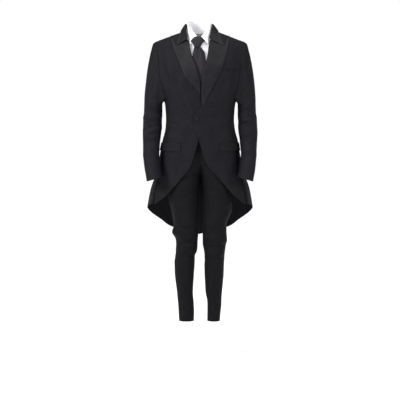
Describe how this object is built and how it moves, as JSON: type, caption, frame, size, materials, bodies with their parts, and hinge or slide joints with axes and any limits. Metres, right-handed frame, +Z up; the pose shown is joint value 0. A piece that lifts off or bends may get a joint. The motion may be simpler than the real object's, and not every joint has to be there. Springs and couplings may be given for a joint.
{
  "type": "tuxedo",
  "caption": "Black evening suit in its worn form: cut-away tail coat with wide satin peak lapels, slim trousers bunched at the knees, white shirt and black necktie.",
  "frame": {"origin": "between the shoulders at the base of the neck, where the wearer holds the garment up", "axes": "+Z up, -Y out of the front, +X to the wearer's left"},
  "size_m": [0.5337, 0.356, 1.401],
  "materials": {
    "coat_wool": "fine matte wool",
    "satin_facing": "smooth satin with a soft sheen",
    "trouser_wool": "fine matte wool",
    "shirt_cotton": "plain woven cotton",
    "tie_silk": "twill silk with a soft sheen",
    "button_plastic": "matte"
  },
  "bodies": {
    "root": {"coat_front_left": "coat_wool", "coat_front_right": "coat_wool", "coat_side_left": "coat_wool", "coat_side_right": "coat_wool", "coat_back_left": "coat_wool", "coat_back_right": "coat_wool", "sleeve_top_left": "coat_wool", "sleeve_top_right": "coat_wool", "sleeve_under_left": "coat_wool", "sleeve_under_right": "coat_wool", "breast_welt": "coat_wool", "flap_left": "coat_wool", "flap_right": "coat_wool", "coat_collar": "satin_facing", "lapel_left": "satin_facing", "lapel_right": "satin_facing", "trouser_front_left": "trouser_wool", "trouser_front_right": "trouser_wool", "trouser_back_left": "trouser_wool", "trouser_back_right": "trouser_wool", "waistband_left": "trouser_wool", "waistband_right": "trouser_wool", "trouser_fly": "trouser_wool", "shirt_front_left": "shirt_cotton", "shirt_front_right": "shirt_cotton", "shirt_back": "shirt_cotton", "shirt_collar": "shirt_cotton", "shirt_collar_stand": "shirt_cotton", "tie_knot": "tie_silk", "tie_blade": "tie_silk", "coat_button": "button_plastic"}
  },
  "joints": []
}
